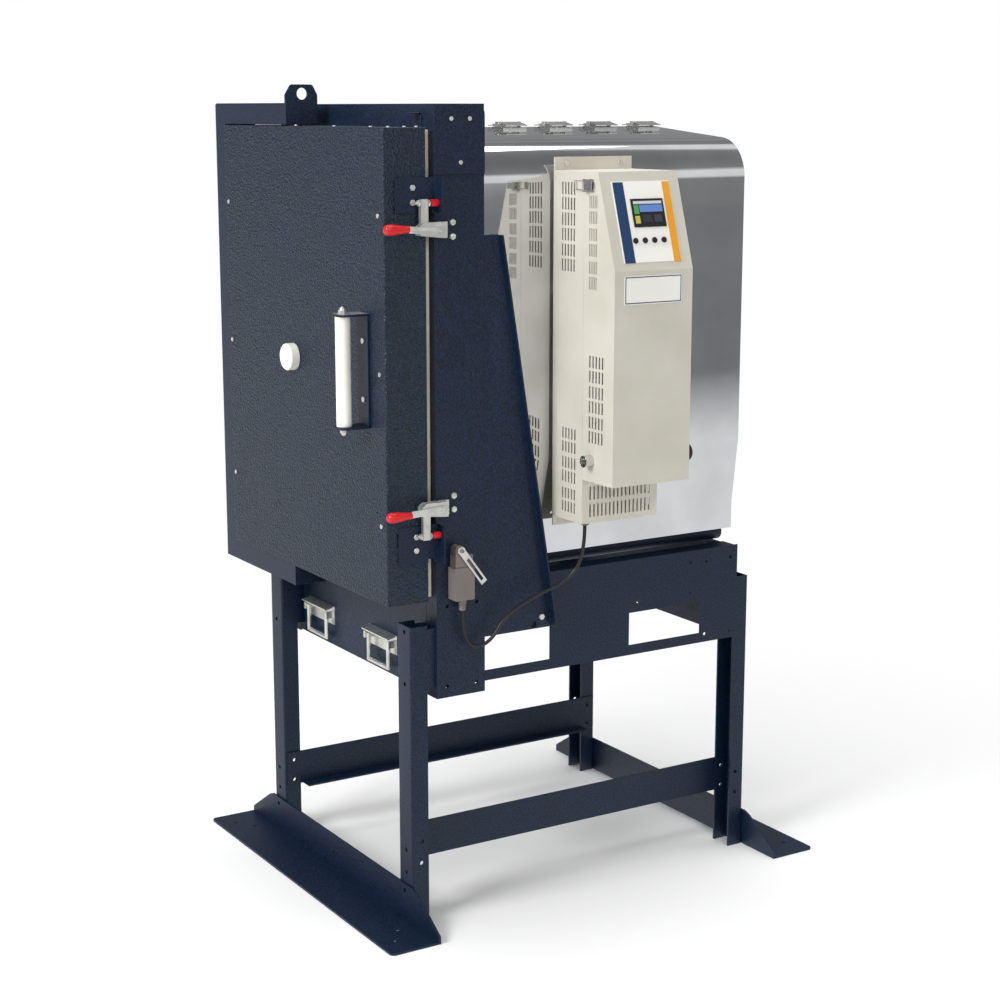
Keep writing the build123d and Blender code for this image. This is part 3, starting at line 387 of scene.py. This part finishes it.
panel.data.materials.append(black)
for polygon in panel.data.polygons:
    polygon.material_index = 1 if polygon.area < KEY_AREA and polygon.center.z > KEYS_ABOVE else 0


def printed(name, across, along, proud, material, upright=False):
    """Thin printed field between two Y values. Along runs up the slope from its foot, in metres, or is the
    height on the upright face of the cover."""
    corners = []
    for out in (proud - PRINT_T, proud):
        for i, j in ((0, 0), (1, 0), (1, 1), (0, 1)):
            if upright:
                place = Vector((COVER_FRONT + out, across[i], along[j]))
            else:
                place = SLOPE_FOOT + SLOPE_UP * along[j] + SLOPE_OUT * out
            corners.append((place.x, across[i], place.z))
    faces = [(4, 5, 6, 7), (3, 2, 1, 0), (0, 1, 5, 4), (1, 2, 6, 5), (2, 3, 7, 6), (3, 0, 4, 7)]
    mesh = bpy.data.meshes.new(name)
    mesh.from_pydata(corners, [], faces)
    mesh.materials.append(material)
    obj = bpy.data.objects.new(name, mesh)
    bpy.context.scene.collection.objects.link(obj)
    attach(obj, "cover")


printed("panel_band_near", NAVY_BAND, BAND_HIGH, FILM_PROUD, navy_film)
printed("panel_band_far", ORANGE_BAND, BAND_HIGH, FILM_PROUD, orange_film)
near, far = PLATE_ACROSS
low, top = PLATE_HIGH
for i, (across, along) in enumerate(((PLATE_ACROSS, (low, low + BORDER)), (PLATE_ACROSS, (top - BORDER, top)),
                                     ((near, near + BORDER), PLATE_HIGH), ((far - BORDER, far), PLATE_HIGH))):
    printed(f"plate_border_{i}", across, along, FILM_PROUD, navy_film, upright=True)

# Screen
# A backlit colour display in a black moulded surround, fixed from behind the cover.
# It shows plain tiles of colour, with the display's fine rows a little darker.
SCREEN_PROUD = 0.0034
GLOW = 0.8
TILES = {
    "bar": ((0.422, 0.494), (0.139, 0.145), "dfe6ea"),
    "main": ((0.436, 0.494), (0.122, 0.137), "6f95e0"),
    "left": ((0.422, 0.434), (0.118, 0.137), "4fb356"),
    "low": ((0.422, 0.434), (0.098, 0.114), "d8cf55"),
    "data": ((0.440, 0.464), (0.100, 0.116), "2b3440"),
    "mark": ((0.470, 0.490), (0.100, 0.116), "39424c"),
}


def lit(name, colour):
    """Backlit display in one colour, with fine rows."""
    material = bpy.data.materials.new(name)
    material.use_nodes = True
    tree = material.node_tree
    shader = tree.nodes["Principled BSDF"]
    coords = add(tree, "ShaderNodeTexCoord").outputs["Object"]
    rows = add(tree, "ShaderNodeTexWave", {"Vector": coords, "Scale": 400.0}, bands_direction="Z")
    shade = add(tree, "ShaderNodeMapRange", {"Value": rows.outputs["Fac"], "To Min": 0.85, "To Max": 1.0})
    glow = blend_colours(tree, shade.outputs["Result"], "000000", colour)
    tree.links.new(glow, shader.inputs["Emission Color"])
    shader.inputs["Emission Strength"].default_value = GLOW
    shader.inputs["Base Color"].default_value = to_linear("101014")
    shader.inputs["Roughness"].default_value = 0.2
    return material


for tile, (across, along, colour) in TILES.items():
    printed(f"screen_tile_{tile}", across, along, SCREEN_PROUD, lit("lit_" + tile, colour))

# Limit switch and cable glands
# Grey moulded switch housing screwed to the column, with a gland under it and one in the control case.
# The plastic is matt with a fine spark-eroded texture.
switch_grey = surface("grey_switch_plastic", "6a625f", "7a716d", rough=(0.4, 0.5), grain=1.2, depth=0.00006)
for node in ("switch_body", "cable_glands"):
    dress(node, switch_grey, bevel=1.0)

# Ceramic handle tube, plug, thermocouple and element holders
# Slip-cast white porcelain, held by a rod, by its own taper or in grooves of the brick.
# The glaze is smooth, with a faint warm tint.
porcelain = surface("white_porcelain", "e9e6dd", "f4f2ec", rough=(0.25, 0.35), grain=2, depth=0.00003)
for node in ("handle_tube", "peephole_plug", "element_holders", "thermocouple"):
    dress(node, porcelain, bevel=1.5)

# Fibre gasket and insulation
# Cream ceramic fibre: a woven strip around the door, and board behind the brick and in the door.
# It is soft and wholly matt.
fibre = surface("cream_ceramic_fibre", "cfc8b4", "e2dccb", rough=(0.85, 0.95), grain=2.5, depth=0.0005)
dress("door_gasket", fibre, bevel=2.0)
for node in ("insulation", "door_insulation"):
    dress(node, fibre, bevel=0)

# Firebrick lining and heating elements
# Pale insulating firebrick, sawn and cemented, with fine open pores.
# Dark oxidised resistance wire lies in the ceramic holders.
brick = surface("insulating_firebrick", "ddcfae", "efe6cf", rough=(0.85, 0.95), grain=3, depth=0.0008)
for node in ("brick_lining", "door_brick"):
    dress(node, brick, bevel=1.5)
wire = surface("oxidised_element_wire", "3a352e", "5a5247", metallic=0.7, rough=(0.5, 0.7), grain=1,
               depth=0.0001)
dress("heating_elements", wire, bevel=0)

# Floor, backdrop and light
# A wide white floor that keeps the shadow, and fades to a pure white backdrop for the camera.
# Reflections see a studio: a floor that turns grey far out, a bright upper band and a dark ceiling.
FLOOR_HALF = 60
FADE = (1.0, 2.6)
GREY_FROM_X = (3.2, 5.0)
SKY_BANDS = ((0.12, 0.36), (0.22, 0.26), (0.42, 0.30), (0.47, 0.95), (0.60, 1.0), (0.66, 0.30))
SKY_FOOT = (0.26, 0.26, 0.27, 1)
SKY_TOP = (0.12, 0.12, 0.13, 1)
FILL = 0.55
white = bpy.data.materials.new("studio_floor")
white.use_nodes = True
tree = white.node_tree
coords = add(tree, "ShaderNodeTexCoord").outputs["Object"]
across = add(tree, "ShaderNodeSeparateXYZ", {"Vector": coords}).outputs["X"]
far_right = add(tree, "ShaderNodeMapRange",
                {"Value": across, "From Min": GREY_FROM_X[0], "From Max": GREY_FROM_X[1]}).outputs["Result"]
shader = tree.nodes["Principled BSDF"]
tree.links.new(blend_colours(tree, far_right, "f6f6f6", "aeaeb0"), shader.inputs["Base Color"])
shader.inputs["Roughness"].default_value = 0.9
reach = add(tree, "ShaderNodeVectorMath", {0: coords}, operation="LENGTH").outputs["Value"]
away = add(tree, "ShaderNodeMapRange", {"Value": reach, "From Min": FADE[0], "From Max": FADE[1]},
           interpolation_type="SMOOTHSTEP").outputs["Result"]
path = add(tree, "ShaderNodeLightPath")
in_mirror = path.outputs["Is Glossy Ray"]
seen = add(tree, "ShaderNodeMath", {0: away, 1: path.outputs["Is Camera Ray"], 2: in_mirror},
           operation="MULTIPLY_ADD").outputs[0]
mirrored = add(tree, "ShaderNodeMath", {0: far_right, 1: in_mirror}, operation="MULTIPLY").outputs[0]
glow = add(tree, "ShaderNodeEmission", {"Color": blend_colours(tree, mirrored, "ffffff", "8a8b8d")})
ground = add(tree, "ShaderNodeMixShader", {0: seen, 1: shader.outputs[0], 2: glow.outputs[0]})
tree.links.new(ground.outputs[0], tree.nodes["Material Output"].inputs["Surface"])
mesh = bpy.data.meshes.new("floor")
mesh.from_pydata([(x * FLOOR_HALF, y * FLOOR_HALF, 0) for x, y in ((-1, -1), (1, -1), (1, 1), (-1, 1))], [],
                 [(0, 1, 2, 3)])
mesh.materials.append(white)
floor = bpy.data.objects.new("floor", mesh)
bpy.context.scene.collection.objects.link(floor)

world = bpy.data.worlds.new("studio")
bpy.context.scene.world = world
world.use_nodes = True
tree = world.node_tree
direction = add(tree, "ShaderNodeTexCoord").outputs["Generated"]
parts = add(tree, "ShaderNodeSeparateXYZ", {"Vector": direction})
rise = add(tree, "ShaderNodeMath", {0: parts.outputs["Z"], 1: 0.8}, operation="MULTIPLY").outputs[0]
lean = add(tree, "ShaderNodeMath", {0: parts.outputs["X"], 1: 0.5, 2: rise}, operation="MULTIPLY_ADD")
ramp = add(tree, "ShaderNodeValToRGB", {0: lean.outputs[0]})
stops = ramp.color_ramp.elements
stops[0].position, stops[0].color = 0.0, SKY_FOOT
stops[1].position, stops[1].color = 0.95, SKY_TOP
for place, bright in SKY_BANDS:
    stop = stops.new(place)
    stop.color = (bright, bright, bright, 1)
room = add(tree, "ShaderNodeBackground", {"Color": ramp.outputs["Color"], "Strength": 1.0}).outputs[0]
fill = tree.nodes["Background"]
fill.inputs["Color"].default_value = (1, 1, 1, 1)
fill.inputs["Strength"].default_value = FILL
backdrop = add(tree, "ShaderNodeBackground", {"Color": (1, 1, 1, 1), "Strength": 1.0}).outputs[0]
path = add(tree, "ShaderNodeLightPath")
lit_by = add(tree, "ShaderNodeMixShader", {0: path.outputs["Is Glossy Ray"], 1: fill.outputs[0], 2: room})
sky = add(tree, "ShaderNodeMixShader", {0: path.outputs["Is Camera Ray"], 1: lit_by.outputs[0], 2: backdrop})
tree.links.new(sky.outputs[0], tree.nodes["World Output"].inputs["Surface"])


def soft_light(name, place, target, size, watts):
    """Square soft box that looks from its place at the target."""
    lamp = bpy.data.lights.new(name, "AREA")
    lamp.shape = "SQUARE"
    lamp.size = size
    lamp.energy = watts
    obj = bpy.data.objects.new(name, lamp)
    obj.location = place
    obj.rotation_euler = (Vector(target) - Vector(place)).to_track_quat("-Z", "Y").to_euler()
    bpy.context.scene.collection.objects.link(obj)


soft_light("key", (1.0, -5.0, 4.2), (0, 0, 1.0), 2.6, 300)
soft_light("side", (5.2, -0.6, 3.6), (0.4, 0.3, 1.0), 2.0, 45)
soft_light("top", (-0.5, 0.8, 5.5), (0, 0.4, 0.8), 3.5, 150)
bpy.context.scene.view_settings.view_transform = "Standard"
